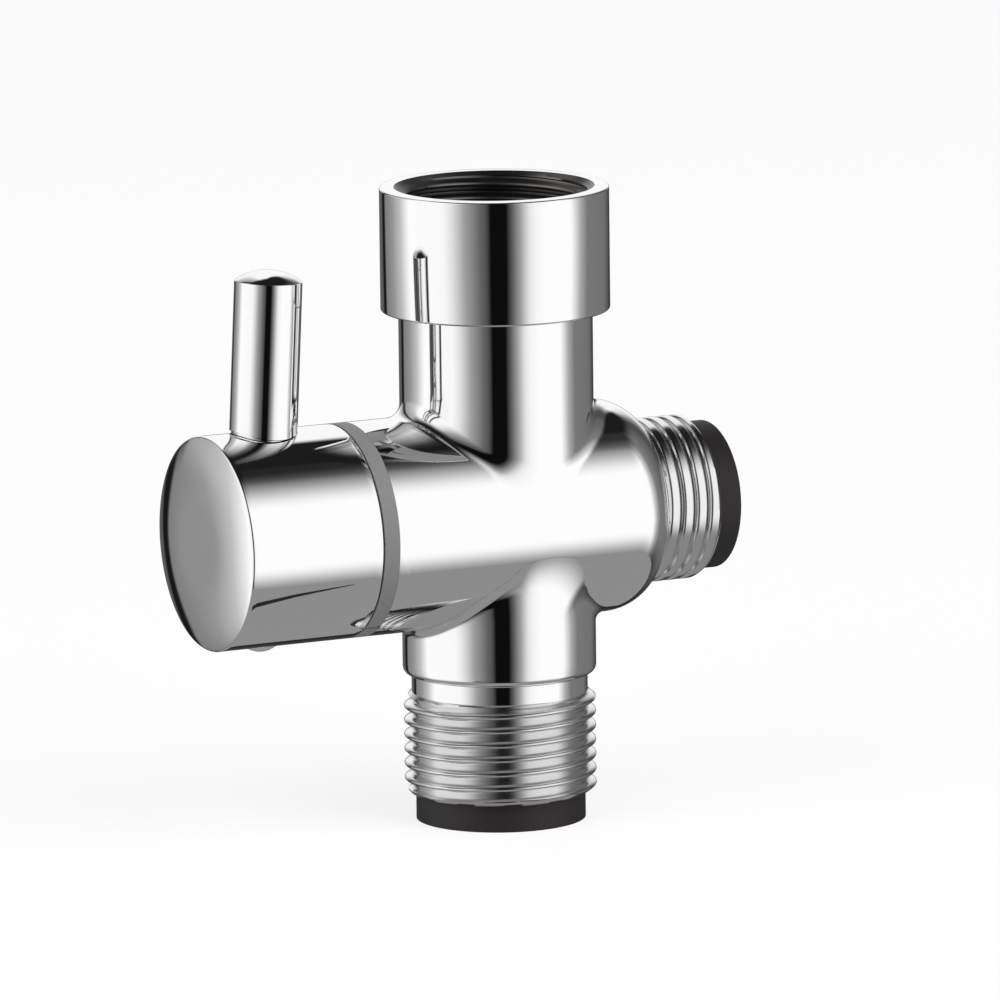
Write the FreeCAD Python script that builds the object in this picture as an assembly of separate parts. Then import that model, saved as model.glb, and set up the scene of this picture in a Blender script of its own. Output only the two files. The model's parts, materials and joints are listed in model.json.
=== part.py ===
"""Three-way shower diverter valve with a lever handle, in millimetres.

A brass casting carries an inlet socket on top, a threaded outlet below and a threaded
outlet on its right.  A rotary core in the horizontal barrel sends the water down or to
the side, and a hub with a pin lever turns it.  The origin is the centre of the lower
outlet where its full thread begins, just above the chamfer of its end face.  +Z points
up towards the inlet and +X towards the side outlet.
"""
import FreeCAD
import Part
import math
import os

V = FreeCAD.Vector

# outer lengths of the casting, the first two measured from the barrel's axis
inlet_rise = 36.2
outlet_drop = 30.4
collar_height = 13.5
pipe_thread_length = 13.1
barrel_left_reach = 17.7
boss_reach = 16.4
side_thread_length = 6.8

# outer radii of the casting and its rounded or bevelled edges
collar_r = 12.47
neck_r = 10.55
barrel_r = 11.66
pipe_thread_r = 10.4775
pipe_thread_relief_r = 9.6
pipe_thread_relief_length = 2.0
side_thread_r = 9.0
boss_arc_r = 5.4
upper_blend_r = 2.0
lower_blend_r = 1.2
thread_chamfer = 0.65
crisp_edge = 0.25
step_edge = 0.8

# passages in the casting
socket_relief_r = 10.9
socket_relief_length = 3.3
socket_depth = 12.6
mouth_chamfer = 0.42
waterway_r = 6.0
side_bore_inset = 2.73
barrel_wall = 2.66
chamber_step = 0.5
chamber_shoulder = 5.8
bonnet_thread_length = 7.4

# flat washers that seal the three connections
washer_r = 9.25
washer_hole_r = 4.0
washer_thickness = 3.0
side_washer_r = 8.1
side_washer_hole_r = 5.2
side_washer_thickness = 2.5

# running and seating clearances, and play in degrees
seat_gap = 0.02
running_gap = 0.05
face_gap = 0.15
tab_play = 0.5
stop_play = 1.0

# sleeve around the core
sleeve_wall = 0.75
port_r = 4.2
sleeve_tab_angle = 16.0
sleeve_tab_length = 1.0

# rotary core
core_bore_wall = 3.68
core_bore_left = 2.5
trough_depth = 2.28
trough_width = 8.4
trough_half_angle = 118.0
window_width = 6.0
window_length = 6.4
near_groove_setback = 1.75
far_groove_setback = 2.16
core_slot_depth = 2.7
tang_thickness = 3.0
end_seal_thickness = 1.2
oring_section_r = 0.75

# bonnet, spindle and what keeps them together
bonnet_nose_length = 2.8
bonnet_collar_length = 1.8
bonnet_hex = 15.0
bonnet_hex_length = 3.0
bonnet_neck_wall = 2.35
bonnet_reach = 6.3
bonnet_nose_wall = 1.6
bonnet_pocket_depth = 2.4
spindle_flange_width = 2.6
spindle_seal_spread = 2.0
spindle_flange_room = 0.3
spindle_flange_thickness = 1.3
slip_washer_thickness = 0.7
stop_lug_angle = 40.0
stop_lug_depth = 1.1
circlip_thickness = 0.8
circlip_proud = 1.6
circlip_seat_depth = 0.8
circlip_opening = 2.6
turn_range = 90.0

# splined end of the spindle and the insert that fits it
spline_teeth = 20
spline_tip_inset = 0.25
spline_depth = 0.4
spline_tip_share = 0.12
spline_root_share = 0.32
spline_end_room = 0.7
insert_cover = 5.21
insert_flat_depth = 0.55

# trim ring, hub and lever
ring_width = 1.8
ring_room = 0.2
ring_notch_r = 0.35
ring_notch_angle = 34.0
hub_width = 15.65
hub_wall = 1.96
hub_face_wall = 3.0
hub_flat_r = 4.2
hub_crown_r = 25.5
lever_setback = 6.5
lever_incline = 3.0
lever_r = 3.68
lever_reach = 28.05
lever_dome = 1.23
lever_socket_depth = 0.96
lever_tail_r = 2.0
grub_setback = 6.3
grub_r = 2.0
grub_length = 3.4
grub_key = 2.0
grub_key_depth = 1.6
cover_proud = 0.65
cover_neck_r = 1.5
cover_top = 0.5

# how far a cutting tool runs past the wall it opens, and how far joined pieces share metal
overrun = 1.0
bite = 0.1

# heights, from the start of the lower outlet's full thread
lower_end = -thread_chamfer
axis_height = lower_end + outlet_drop
top_height = axis_height + inlet_rise
collar_bottom = top_height - collar_height
lower_step = lower_end + pipe_thread_length
seat_height = top_height - socket_depth

# stations along the barrel, from the vertical axis towards the side outlet
barrel_left = -barrel_left_reach
boss_end = boss_reach
side_end = boss_end + side_thread_length
chamber_end = boss_end - chamber_shoulder
ring_left = barrel_left - ring_width
hub_open_end = ring_left - face_gap
hub_rim = hub_open_end - hub_width
hub_bore_end = hub_rim + hub_face_wall
lever_station = hub_rim + lever_setback
grub_station = hub_rim + grub_setback
core_far_end = chamber_end - end_seal_thickness - 2 * seat_gap
bonnet_outer_end = barrel_left - bonnet_reach
bonnet_inner_end = barrel_left + bonnet_thread_length + bonnet_nose_length
pocket_floor = bonnet_inner_end - bonnet_pocket_depth
slip_washer_left = pocket_floor + seat_gap
flange_left = slip_washer_left + slip_washer_thickness + running_gap
flange_right = flange_left + spindle_flange_thickness
core_near_end = max(flange_right, bonnet_inner_end) + face_gap
core_near_groove = core_near_end + near_groove_setback
core_far_groove = core_far_end - far_groove_setback
sleeve_left = bonnet_inner_end + seat_gap
circlip_right = bonnet_outer_end - face_gap
shaft_left = circlip_right - 2 * circlip_thickness
hub_cavity_end = shaft_left - face_gap
spline_end = hub_bore_end + spline_end_room

# radii that follow from the ones above
bonnet_thread_r = barrel_r - barrel_wall
chamber_r = bonnet_thread_r - chamber_step
bonnet_pocket_r = chamber_r - bonnet_nose_wall
spindle_flange_r = bonnet_pocket_r - spindle_flange_room
spindle_r = spindle_flange_r - spindle_flange_width
tang_width = 2 * spindle_r
circlip_r = spindle_r + circlip_proud
circlip_seat_r = spindle_r - circlip_seat_depth
spline_tip_r = spindle_r - spline_tip_inset
spline_root_r = spline_tip_r - spline_depth
ring_bore_r = bonnet_thread_r + ring_room
hub_cavity_r = barrel_r - hub_wall
insert_r = barrel_r - insert_cover
insert_flat_r = insert_r - insert_flat_depth
lever_socket_r = barrel_r - lever_socket_depth
sleeve_r = chamber_r - seat_gap
sleeve_bore_r = sleeve_r - sleeve_wall
side_bore_r = sleeve_bore_r - side_bore_inset
core_r = sleeve_bore_r - running_gap
core_bore_r = core_r - core_bore_wall
trough_floor_r = core_r - trough_depth
bonnet_bore_r = spindle_r + running_gap
bonnet_neck_r = bonnet_bore_r + bonnet_neck_wall
groove_floor_r = core_r - 2 * oring_section_r + running_gap


def at_axis(x, radius):
    """a point of a profile that is turned about the barrel's axis"""
    return V(x, 0, axis_height + radius)


def turned_x(points):
    """a solid turned about the barrel's axis from (station, radius) corners"""
    wire = Part.makePolygon([at_axis(x, r) for x, r in points + points[:1]])
    return Part.Face(wire).revolve(V(0, 0, axis_height), V(1, 0, 0), 360)


def turned_z(points):
    """a solid turned about the vertical axis from (radius, height) corners"""
    wire = Part.makePolygon([V(r, 0, z) for r, z in points + points[:1]])
    return Part.Face(wire).revolve(V(0, 0, 0), V(0, 0, 1), 360)


def disc_x(left, right, radius, bore=0.0):
    """a round or ring-shaped slice along the barrel's axis"""
    solid = Part.makeCylinder(radius, right - left, at_axis(left, 0), V(1, 0, 0))
    if bore:
        solid = solid.cut(Part.makeCylinder(bore, right - left, at_axis(left, 0), V(1, 0, 0)))
    return solid


def disc_z(low, high, radius, bore=0.0):
    """a round or ring-shaped slice along the vertical axis"""
    solid = Part.makeCylinder(radius, high - low, V(0, 0, low), V(0, 0, 1))
    if bore:
        solid = solid.cut(Part.makeCylinder(bore, high - low, V(0, 0, low), V(0, 0, 1)))
    return solid


def ring_x(x, centre_radius, section_radius):
    """a rubber ring of round section around the barrel's axis"""
    return Part.makeTorus(centre_radius, section_radius, at_axis(x, 0), V(1, 0, 0))


def box_x(left, right, low_y, high_y, low_r, high_r):
    """a block whose height is counted from the barrel's axis"""
    return Part.makeBox(right - left, high_y - low_y, high_r - low_r,
                        V(left, low_y, axis_height + low_r))


def turned_by(shape, angle):
    """the shape turned about the barrel's axis, from +Z towards -Y"""
    copy = shape.copy()
    copy.rotate(V(0, 0, axis_height), V(1, 0, 0), angle)
    return copy


def sector_x(left, right, outer_r, inner_r, centre_angle, half_angle):
    """a sector of a ring, its centre angle counted from +Z towards -Y"""
    profile = Part.makePolygon([at_axis(left, inner_r), at_axis(right, inner_r),
                                at_axis(right, outer_r), at_axis(left, outer_r), at_axis(left, inner_r)])
    piece = Part.Face(profile).revolve(V(0, 0, axis_height), V(1, 0, 0), 2 * half_angle)
    return turned_by(piece, centre_angle - half_angle)


def largest(shape):
    """the biggest solid of a cut, as a plain solid"""
    return sorted(shape.Solids, key=lambda piece: piece.Volume)[-1]


def lies_on_both(edge):
    """whether an edge is where a neck's wall meets the barrel's wall"""
    point = edge.valueAt((edge.FirstParameter + edge.LastParameter) / 2)
    off_neck = abs(math.hypot(point.x, point.y) - neck_r)
    off_barrel = abs(math.hypot(point.y, point.z - axis_height) - barrel_r)
    return off_neck < 0.01 and off_barrel < 0.01


def barrel_outside():
    """the horizontal barrel, its right end rounded by one arc down to the side thread"""
    drop = barrel_r - side_thread_r
    reach = math.sqrt(boss_arc_r ** 2 - (boss_arc_r - drop) ** 2)
    start = boss_end - reach
    end_angle = math.asin(reach / boss_arc_r)

    def on_arc(angle):
        centre_r = barrel_r - boss_arc_r
        return at_axis(start + boss_arc_r * math.sin(angle), centre_r + boss_arc_r * math.cos(angle))

    corners = [at_axis(boss_end, side_thread_r), at_axis(boss_end, 0), at_axis(barrel_left, 0),
               at_axis(barrel_left, barrel_r), at_axis(start, barrel_r)]
    edges = [Part.LineSegment(a, b).toShape() for a, b in zip(corners, corners[1:])]
    edges.append(Part.Arc(on_arc(0), on_arc(end_angle / 2), on_arc(end_angle)).toShape())
    return Part.Face(Part.Wire(edges)).revolve(V(0, 0, axis_height), V(1, 0, 0), 360)


def casting_outside():
    """necks and barrel joined and blended, then the collar and both male ends"""
    neck = disc_z(lower_step, collar_bottom + overrun, neck_r)
    foot = [edge for edge in neck.Edges if edge.BoundBox.ZMax < lower_step + 0.01
            and edge.BoundBox.XLength > neck_r]
    neck = neck.makeFillet(step_edge, foot)
    shape = barrel_outside().fuse(neck).removeSplitter()
    upper = [e for e in shape.Edges if lies_on_both(e) and e.CenterOfMass.z > axis_height]
    shape = shape.makeFillet(upper_blend_r, upper)
    lower = [e for e in shape.Edges if lies_on_both(e) and e.CenterOfMass.z < axis_height]
    shape = shape.makeFillet(lower_blend_r, lower)
    collar = turned_z([(0, collar_bottom), (collar_r - crisp_edge, collar_bottom),
                       (collar_r, collar_bottom + crisp_edge), (collar_r, top_height - crisp_edge),
                       (collar_r - crisp_edge, top_height), (0, top_height)])
    relief_top = lower_step + step_edge
    thread_top = lower_step - pipe_thread_relief_length
    outlet = turned_z([(0, lower_end), (pipe_thread_r - thread_chamfer, lower_end), (pipe_thread_r, 0),
                       (pipe_thread_r, thread_top - thread_chamfer),
                       (pipe_thread_relief_r, thread_top),
                       (pipe_thread_relief_r, relief_top), (0, relief_top)])
    side = turned_x([(boss_end - overrun, 0), (boss_end - overrun, side_thread_r),
                     (side_end - thread_chamfer, side_thread_r),
                     (side_end, side_thread_r - thread_chamfer), (side_end, 0)])
    return shape.fuse([collar, outlet, side]).removeSplitter()


def body():
    """the brass casting with its socket, waterways and core chamber"""
    mouth_r = pipe_thread_r + mouth_chamfer
    relief_height = seat_height + socket_relief_length
    socket = turned_z([(0, seat_height), (socket_relief_r, seat_height), (socket_relief_r, relief_height),
                       (pipe_thread_r, relief_height + socket_relief_r - pipe_thread_r),
                       (pipe_thread_r, top_height - mouth_chamfer), (mouth_r, top_height),
                       (mouth_r, top_height + overrun), (0, top_height + overrun)])
    waterway = disc_z(lower_end - overrun, seat_height + overrun, waterway_r)
    chamber = disc_x(barrel_left - overrun, chamber_end, chamber_r)
    bonnet_seat = disc_x(barrel_left - overrun, barrel_left + bonnet_thread_length, bonnet_thread_r)
    side_bore = disc_x(chamber_end - overrun, side_end + overrun, side_bore_r)
    tab_slot = sector_x(chamber_end - overrun, chamber_end + sleeve_tab_length + seat_gap, chamber_r,
                        sleeve_bore_r - seat_gap, 0, sleeve_tab_angle / 2 + tab_play)
    return largest(casting_outside().cut([socket, waterway, chamber, bonnet_seat, side_bore, tab_slot]))


def port_sleeve():
    """plastic sleeve that the core turns in, with a port up and a port down"""
    tube = disc_x(sleeve_left, chamber_end - seat_gap, sleeve_r, sleeve_bore_r)
    ports = Part.makeCylinder(port_r, 4 * sleeve_r, V(0, 0, axis_height - 2 * sleeve_r))
    tab = sector_x(chamber_end - overrun, chamber_end + sleeve_tab_length, sleeve_r, sleeve_bore_r,
                   0, sleeve_tab_angle / 2)
    return largest(tube.fuse(tab).cut(ports))


def end_seal():
    """rubber ring between the core's open end and the chamber's shoulder"""
    return disc_x(chamber_end - seat_gap - end_seal_thickness, chamber_end - seat_gap,
                  sleeve_bore_r - seat_gap, side_bore_r + seat_gap)


def groove_x(station, floor_r, outer_r):
    """the ring of metal or plastic taken away for a rubber ring"""
    half = oring_section_r + running_gap
    return disc_x(station - half, station + half, outer_r, floor_r)


def diverter_core():
    """hollow core: a window into its bore on one side, a trough around the other"""
    core = disc_x(core_near_end, core_far_end, core_r)
    bore = disc_x(-core_bore_left, core_far_end + overrun, core_bore_r)
    trough = sector_x(-trough_width / 2, trough_width / 2, core_r + overrun, trough_floor_r,
                      turn_range, trough_half_angle)
    window = box_x(-core_bore_left, window_length - core_bore_left, -window_width / 2, window_width / 2,
                   0, core_r + overrun)
    slot = box_x(core_near_end - overrun, core_near_end + core_slot_depth + seat_gap,
                 -tang_width / 2 - seat_gap, tang_width / 2 + seat_gap,
                 -tang_thickness / 2 - seat_gap, tang_thickness / 2 + seat_gap)
    near_groove = groove_x(core_near_groove, groove_floor_r, core_r + overrun)
    far_groove = groove_x(core_far_groove, groove_floor_r, core_r + overrun)
    return largest(core.cut([bore, trough, turned_by(window, -turn_range), slot, near_groove, far_groove]))


def core_oring(station):
    """rubber ring in one of the core's grooves"""
    return ring_x(station, core_r + running_gap / 2 - oring_section_r + seat_gap / 2,
                  oring_section_r - seat_gap)


def hexagon_corners(across_flats):
    """the two coordinates of a hexagon's corners, closed"""
    radius = across_flats / 2 / math.cos(math.radians(30))
    turns = [math.radians(60 * k) for k in range(7)]
    return [(radius * math.cos(turn), radius * math.sin(turn)) for turn in turns]


def hexagon_x(left, right, across_flats):
    """a hexagonal slice along the barrel's axis"""
    corners = [V(left, y, axis_height + z) for y, z in hexagon_corners(across_flats)]
    return Part.Face(Part.makePolygon(corners)).extrude(V(right - left, 0, 0))


def bonnet():
    """brass gland screwed into the barrel, which carries the spindle"""
    thread_right = barrel_left + bonnet_thread_length
    hex_right = barrel_left - bonnet_collar_length
    hex_left = hex_right - bonnet_hex_length
    groove = bonnet_inner_end - bonnet_nose_length / 2
    turned = turned_x([(bonnet_inner_end, 0), (bonnet_inner_end, chamber_r - running_gap),
                       (thread_right - face_gap, chamber_r - running_gap),
                       (thread_right - face_gap, bonnet_thread_r - seat_gap),
                       (hex_right, bonnet_thread_r - seat_gap), (hex_right, bonnet_neck_r),
                       (bonnet_outer_end, bonnet_neck_r), (bonnet_outer_end, 0)])
    blank = turned.fuse(hexagon_x(hex_left, hex_right, bonnet_hex)).removeSplitter()
    lug = sector_x(pocket_floor, bonnet_inner_end, bonnet_pocket_r, spindle_flange_r - stop_lug_depth,
                   -turn_range / 2, stop_lug_angle / 2)
    washer_room = disc_x(pocket_floor, flange_left, bonnet_pocket_r)
    pocket = disc_x(pocket_floor, bonnet_inner_end + overrun, bonnet_pocket_r).cut(lug).fuse(washer_room)
    bore = disc_x(bonnet_outer_end - overrun, pocket_floor + overrun, bonnet_bore_r)
    seal_groove = groove_x(groove, chamber_r - 2 * oring_section_r, chamber_r)
    return largest(blank.cut([pocket, bore, seal_groove]))


def bonnet_oring():
    """rubber ring that seals the bonnet's nose in the barrel"""
    return ring_x(bonnet_inner_end - bonnet_nose_length / 2, chamber_r - oring_section_r,
                  oring_section_r - seat_gap)


def slip_washer():
    """plastic thrust washer under the spindle's flange"""
    return disc_x(slip_washer_left, slip_washer_left + slip_washer_thickness,
                  spindle_flange_r, spindle_r + 2 * running_gap)


def spline_outline(x, tip_r, root_r):
    """closed star outline with straight flanks, one tooth for each pitch"""
    pitch = 360.0 / spline_teeth
    flank = ((-spline_root_share, root_r), (-spline_tip_share, tip_r),
             (spline_tip_share, tip_r), (spline_root_share, root_r))
    points = []
    for tooth in range(spline_teeth):
        for share, radius in flank:
            angle = math.radians((tooth + share) * pitch)
            points.append(V(x, radius * math.sin(angle), axis_height + radius * math.cos(angle)))
    return Part.makePolygon(points + points[:1])


def spindle_seal_stations():
    """where the spindle's two rubber rings sit inside the bonnet"""
    middle = (pocket_floor + bonnet_outer_end) / 2
    return middle + spindle_seal_spread, middle - spindle_seal_spread


def spindle():
    """brass spindle with tang, stop flange, ring grooves and splined end"""
    shaft = disc_x(shaft_left, flange_left, spindle_r)
    flange = disc_x(flange_left, flange_right, spindle_flange_r)
    notch = sector_x(flange_left - overrun, flange_right + overrun, spindle_flange_r + overrun,
                     spindle_flange_r - stop_lug_depth - running_gap,
                     -turn_range, (turn_range + stop_lug_angle) / 2 + stop_play)
    tang = box_x(flange_right - bite, core_near_end + core_slot_depth,
                 -tang_width / 2, tang_width / 2, -tang_thickness / 2, tang_thickness / 2)
    star = Part.Face(spline_outline(spline_end, spline_tip_r, spline_root_r))
    spline = star.extrude(V(shaft_left + bite - spline_end, 0, 0))
    grooves = [groove_x(x, bonnet_bore_r - 2 * oring_section_r, spindle_r + overrun)
               for x in spindle_seal_stations()]
    seat = disc_x(circlip_right - circlip_thickness - seat_gap, circlip_right + seat_gap,
                  spindle_r + overrun, circlip_seat_r)
    blank = shaft.fuse([flange.cut(notch), tang, spline]).removeSplitter()
    return largest(blank.cut(grooves + [seat]))


def spindle_oring(station):
    """rubber ring between the spindle and the bonnet's bore"""
    return ring_x(station, bonnet_bore_r - oring_section_r, oring_section_r - seat_gap)


def circlip():
    """spring steel clip that holds the spindle in the bonnet"""
    ring = disc_x(circlip_right - circlip_thickness, circlip_right, circlip_r, circlip_seat_r + seat_gap)
    mouth = box_x(circlip_right - circlip_thickness - overrun, circlip_right + overrun,
                  -circlip_opening / 2, circlip_opening / 2, -circlip_r - overrun, 0)
    return largest(ring.cut(mouth))


def trim_ring():
    """grey plastic ring between the hub and the barrel, with a small locating notch"""
    ring = disc_x(ring_left, barrel_left - seat_gap, barrel_r, ring_bore_r)
    notch = disc_x(ring_left - overrun, barrel_left + overrun, ring_notch_r)
    notch.translate(V(0, 0, -barrel_r))
    return largest(ring.cut(turned_by(notch, -ring_notch_angle)))


def spline_insert():
    """plastic insert in the hub, splined inside and with two flats outside"""
    left = hub_bore_end + seat_gap
    right = hub_cavity_end
    blank = disc_x(left, right, insert_r)
    flats = box_x(left - overrun, right + overrun, -insert_flat_r, insert_flat_r, -insert_r, insert_r)
    hole_end = spline_end - face_gap
    star = Part.Face(spline_outline(hole_end, spline_tip_r + running_gap, spline_root_r + running_gap))
    hole = star.extrude(V(right + overrun - hole_end, 0, 0))
    return largest(blank.common(flats).cut(hole))


def lever_hole(outer_r, inner_r, radius):
    """a cylinder on the lever's line, which leaves the barrel's axis inclined to the ring"""
    cylinder = Part.makeCylinder(radius, outer_r - inner_r, at_axis(lever_station, inner_r))
    cylinder.rotate(at_axis(lever_station, 0), V(0, 1, 0), lever_incline)
    return cylinder


def grub_hole(outer_r, inner_r, radius):
    """a radial cylinder at the set screw's station, pointing down"""
    return Part.makeCylinder(radius, outer_r - inner_r, at_axis(grub_station, -outer_r))


def hub_outside():
    """the hub's turned outside: a flat middle, a crowned band around it and crisp edges"""
    face_r = barrel_r - crisp_edge
    end_angle = math.asin((face_r - hub_flat_r) / hub_crown_r)
    centre = hub_rim + hub_crown_r * math.cos(end_angle)

    def on_crown(angle):
        return at_axis(centre - hub_crown_r * math.cos(angle), hub_flat_r + hub_crown_r * math.sin(angle))

    corners = [at_axis(hub_rim, face_r), at_axis(hub_rim + crisp_edge, barrel_r),
               at_axis(hub_open_end - crisp_edge, barrel_r), at_axis(hub_open_end, face_r),
               at_axis(hub_open_end, 0), at_axis(centre - hub_crown_r, 0), on_crown(0)]
    edges = [Part.LineSegment(a, b).toShape() for a, b in zip(corners, corners[1:])]
    edges.append(Part.Arc(on_crown(0), on_crown(end_angle / 2), on_crown(end_angle)).toShape())
    return Part.Face(Part.Wire(edges)).revolve(V(0, 0, axis_height), V(1, 0, 0), 360)


def handle_hub():
    """chromed hub, hollow over the bonnet, with a crowned face"""
    cavity = disc_x(hub_cavity_end, hub_open_end + overrun, hub_cavity_r)
    flats = box_x(hub_bore_end, hub_cavity_end + bite, -insert_flat_r - seat_gap, insert_flat_r + seat_gap,
                  -barrel_r, barrel_r)
    bore = disc_x(hub_bore_end, hub_cavity_end + bite, insert_r + seat_gap).common(flats)
    socket = lever_hole(barrel_r + overrun, lever_socket_r, lever_r + seat_gap)
    tapped = lever_hole(barrel_r + overrun, 0, lever_tail_r + seat_gap)
    screw_hole = grub_hole(barrel_r + overrun, 0, grub_r + seat_gap)
    return largest(hub_outside().cut([cavity, bore, socket, tapped, screw_hole]))


def lever_pin():
    """round lever with a threaded tail and a crowned top"""
    tail = lever_hole(lever_socket_r + bite, insert_r + 2 * face_gap, lever_tail_r)
    pin = lever_hole(lever_reach, lever_socket_r + seat_gap, lever_r)
    crown_r = (lever_r ** 2 + lever_dome ** 2) / (2 * lever_dome)
    crown = Part.makeSphere(crown_r, at_axis(lever_station, lever_reach + lever_dome - crown_r))
    crown.rotate(at_axis(lever_station, 0), V(0, 1, 0), lever_incline)
    cap = lever_hole(lever_reach + 2 * lever_dome, lever_reach - bite, lever_r).common(crown)
    return largest(tail.fuse([pin, cap]).removeSplitter())


def grub_screw():
    """socket set screw that clamps the insert on the spindle"""
    low = insert_r + face_gap + grub_length
    screw = grub_hole(low, insert_r + face_gap, grub_r)
    corners = [V(grub_station + x, y, axis_height - low - overrun) for x, y in hexagon_corners(grub_key)]
    key = Part.Face(Part.makePolygon(corners)).extrude(V(0, 0, grub_key_depth + overrun))
    return largest(screw.cut(key))


def grub_screw_cover():
    """small domed plug over the set screw"""
    top = insert_r + face_gap + grub_length + seat_gap
    rim = math.sqrt(barrel_r ** 2 - grub_r ** 2)
    plug = grub_hole(rim, top, grub_r)
    hollow = grub_hole(rim - cover_top, top - overrun, cover_neck_r)
    rise = barrel_r + cover_proud - rim
    crown_r = (grub_r ** 2 + rise ** 2) / (2 * rise)
    crown = Part.makeSphere(crown_r, at_axis(grub_station, crown_r - rim - rise))
    dome = grub_hole(rim + 2 * rise, rim - bite, grub_r).common(crown)
    return largest(plug.fuse(dome).removeSplitter().cut(hollow))


def inlet_washer():
    """rubber washer on the seat at the bottom of the inlet socket"""
    return disc_z(seat_height, seat_height + washer_thickness, washer_r, washer_hole_r)


def lower_washer():
    """rubber washer against the lower outlet's end face"""
    return disc_z(lower_end - washer_thickness, lower_end, washer_r, washer_hole_r)


def side_washer():
    """rubber washer against the side outlet's end face"""
    return disc_x(side_end, side_end + side_washer_thickness, side_washer_r, side_washer_hole_r)


fixed_parts = {
    "body": body(),
    "port_sleeve": port_sleeve(),
    "end_seal": end_seal(),
    "bonnet": bonnet(),
    "bonnet_oring": bonnet_oring(),
    "slip_washer": slip_washer(),
    "trim_ring": trim_ring(),
    "inlet_washer": inlet_washer(),
    "lower_washer": lower_washer(),
    "side_washer": side_washer(),
}

front_seal, back_seal = spindle_seal_stations()

# what turns with the lever, drawn with the lever straight up
turning_parts = {
    "spindle": spindle(),
    "spindle_oring_inner": spindle_oring(front_seal),
    "spindle_oring_outer": spindle_oring(back_seal),
    "circlip": circlip(),
    "diverter_core": diverter_core(),
    "core_oring_near": core_oring(core_near_groove),
    "core_oring_far": core_oring(core_far_groove),
    "spline_insert": spline_insert(),
    "handle_hub": handle_hub(),
    "lever_pin": lever_pin(),
    "grub_screw": grub_screw(),
    "grub_screw_cover": grub_screw_cover(),
}

os.makedirs("parts", exist_ok=True)
for name, shape in {**fixed_parts, **turning_parts}.items():
    shape.exportStep(os.path.join("parts", name + ".step"))
    print(name, "solids", len(shape.Solids), "valid", shape.isValid(), "volume", round(shape.Volume, 1))
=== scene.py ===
"""Dressed model of a chromed shower diverter valve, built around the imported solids.

The casting, the hub and the lever are skins worked out with numpy in millimetres and put
into meshes in metres.  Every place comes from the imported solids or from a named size.
"""
import bmesh
import bpy
import json
import math
import numpy as np
from mathutils import Matrix, Vector


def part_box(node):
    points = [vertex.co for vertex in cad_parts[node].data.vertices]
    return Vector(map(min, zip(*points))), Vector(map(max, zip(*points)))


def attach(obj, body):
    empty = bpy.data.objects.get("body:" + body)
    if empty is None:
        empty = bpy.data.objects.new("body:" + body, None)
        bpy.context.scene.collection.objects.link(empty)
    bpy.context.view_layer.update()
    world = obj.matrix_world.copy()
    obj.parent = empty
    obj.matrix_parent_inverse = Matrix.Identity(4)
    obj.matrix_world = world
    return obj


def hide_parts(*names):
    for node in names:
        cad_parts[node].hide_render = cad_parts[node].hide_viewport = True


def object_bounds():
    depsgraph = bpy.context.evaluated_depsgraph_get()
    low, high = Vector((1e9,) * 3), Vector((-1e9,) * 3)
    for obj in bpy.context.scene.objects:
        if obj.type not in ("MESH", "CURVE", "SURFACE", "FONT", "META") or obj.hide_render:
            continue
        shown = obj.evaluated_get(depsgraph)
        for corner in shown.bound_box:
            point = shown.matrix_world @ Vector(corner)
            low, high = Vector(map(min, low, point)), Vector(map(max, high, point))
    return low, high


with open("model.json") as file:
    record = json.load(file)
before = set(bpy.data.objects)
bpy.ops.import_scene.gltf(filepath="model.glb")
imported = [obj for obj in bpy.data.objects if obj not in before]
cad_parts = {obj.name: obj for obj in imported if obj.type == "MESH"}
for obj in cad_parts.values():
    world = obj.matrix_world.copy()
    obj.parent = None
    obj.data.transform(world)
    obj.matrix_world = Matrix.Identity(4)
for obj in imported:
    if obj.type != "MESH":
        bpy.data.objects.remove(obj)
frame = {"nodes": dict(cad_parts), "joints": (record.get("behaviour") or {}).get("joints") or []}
cad_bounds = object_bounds()


# Camera: far off behind a long lens, a little above the valve and to its left, where the
# photograph was taken from.  It looks at the crossing of the valve's two axes.
mm = 0.001
hinge = frame["joints"][0]
axis_height = hinge["pos_m"][2] / mm
camera_azimuth = math.radians(-27.0)
camera_elevation = math.radians(10.2)
camera_roll = math.radians(-0.661)
camera_distance = 1420 * mm
picture_width = 1000
focal_length_px = 13060
crossing_px = (497.73, 514.65)

flat_right = Vector((math.cos(camera_azimuth), math.sin(camera_azimuth), 0))
towards_camera = Vector((math.sin(camera_azimuth) * math.cos(camera_elevation),
                         -math.cos(camera_azimuth) * math.cos(camera_elevation),
                         math.sin(camera_elevation)))
flat_up = towards_camera.cross(flat_right)
camera_right = flat_right * math.cos(camera_roll) + flat_up * math.sin(camera_roll)
camera_up = flat_up * math.cos(camera_roll) - flat_right * math.sin(camera_roll)

camera_data = bpy.data.cameras.new("camera")
camera = bpy.data.objects.new("camera", camera_data)
bpy.context.scene.collection.objects.link(camera)
bpy.context.scene.camera = camera
camera_place = Vector((0, 0, axis_height * mm)) + towards_camera * camera_distance
camera.matrix_world = Matrix.Translation(camera_place) @ Matrix(
    (camera_right, camera_up, towards_camera)).transposed().to_4x4()
camera_data.lens = camera_data.sensor_width * focal_length_px / picture_width
camera_data.shift_x = 0.5 - crossing_px[0] / picture_width
camera_data.shift_y = crossing_px[1] / picture_width - 0.5
camera_data.clip_start = 0.05
camera_data.clip_end = 50
bpy.context.scene.view_settings.view_transform = "Standard"


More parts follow.
